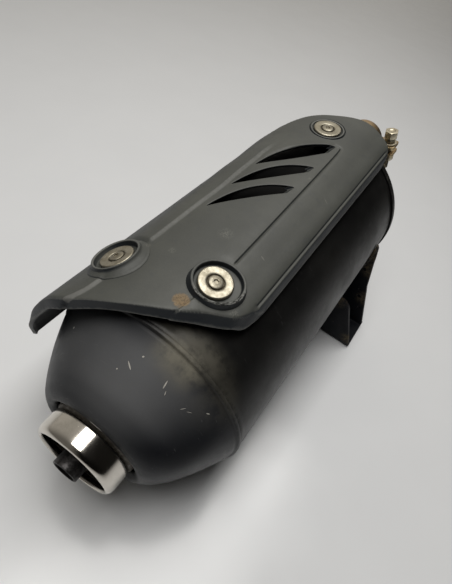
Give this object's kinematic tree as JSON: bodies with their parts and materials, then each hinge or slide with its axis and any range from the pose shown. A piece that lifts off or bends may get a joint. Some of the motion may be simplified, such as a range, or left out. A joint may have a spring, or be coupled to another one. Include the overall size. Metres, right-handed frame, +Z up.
{
  "type": "exhaust muffler",
  "caption": "Cylindrical scooter exhaust muffler with bell tail, polished outlet ring, louvred heat shield, mounting saddle and clamped inlet stub.",
  "frame": {"origin": "on the surface it lies on, under the middle of the whole muffler", "axes": "+X towards the inlet along the can, seen from above; +Z up, with the heat shield on top; the can's own axis rises 6.6 degrees towards the inlet"},
  "size_m": [0.3488, 0.1786, 0.1798],
  "materials": {
    "shield_plastic": "matt moulded plastic, fine scuffs, paler on edges",
    "can_paint": "satin black heat-proof paint, scratched, dusty by the tail seam",
    "bracket_paint": "matt black paint, rust at the welds",
    "tip_chrome": "polished, with fine pitting",
    "neck_steel": "dulled grey, sooty",
    "pipe_steel": "dark, sooty",
    "inner_steel": "plain",
    "shield_hardware": "aged, pitted, brown in the corners",
    "clamp_hardware": "dull, brown with rust",
    "straw_steel": "straw-coloured from heat",
    "ceramic": "matt, fibrous",
    "graphite": "matt grey-black"
  },
  "bodies": {
    "muffler": {"barrel_shell": "can_paint", "tail_dome": "can_paint", "front_cap": "can_paint", "rear_baffle": "inner_steel", "front_baffle": "inner_steel", "short_transfer_tube": "inner_steel", "long_transfer_tube": "inner_steel", "inlet_pipe": "straw_steel", "inlet_gasket": "graphite", "catalyst_can": "inner_steel", "catalyst_core": "ceramic", "outlet_neck": "neck_steel", "outlet_end_plate": "neck_steel", "chrome_tip": "tip_chrome", "outlet_pipe": "pipe_steel", "heat_shield": "shield_plastic", "standoff_rear_left": "inner_steel", "insulator_rear_left": "ceramic", "shield_washer_rear_left": "shield_hardware", "shield_screw_rear_left": "shield_hardware", "standoff_rear_right": "inner_steel", "insulator_rear_right": "ceramic", "shield_washer_rear_right": "shield_hardware", "shield_screw_rear_right": "shield_hardware", "standoff_front": "inner_steel", "insulator_front": "ceramic", "shield_washer_front": "shield_hardware", "shield_screw_front": "shield_hardware", "mounting_bracket": "bracket_paint"},
    "clamp": {"clamp_band": "straw_steel", "clamp_bolt": "clamp_hardware", "clamp_nut": "clamp_hardware", "clamp_washer": "clamp_hardware", "clamp_spacer": "clamp_hardware"}
  },
  "joints": [
    {"name": "clamp_swivel", "type": "hinge", "parent": "muffler", "child": "clamp", "pos_m": [0.16331, -0.00114, 0.15103], "axis": [0.9934, 0, 0.1149], "continuous": true}
  ]
}
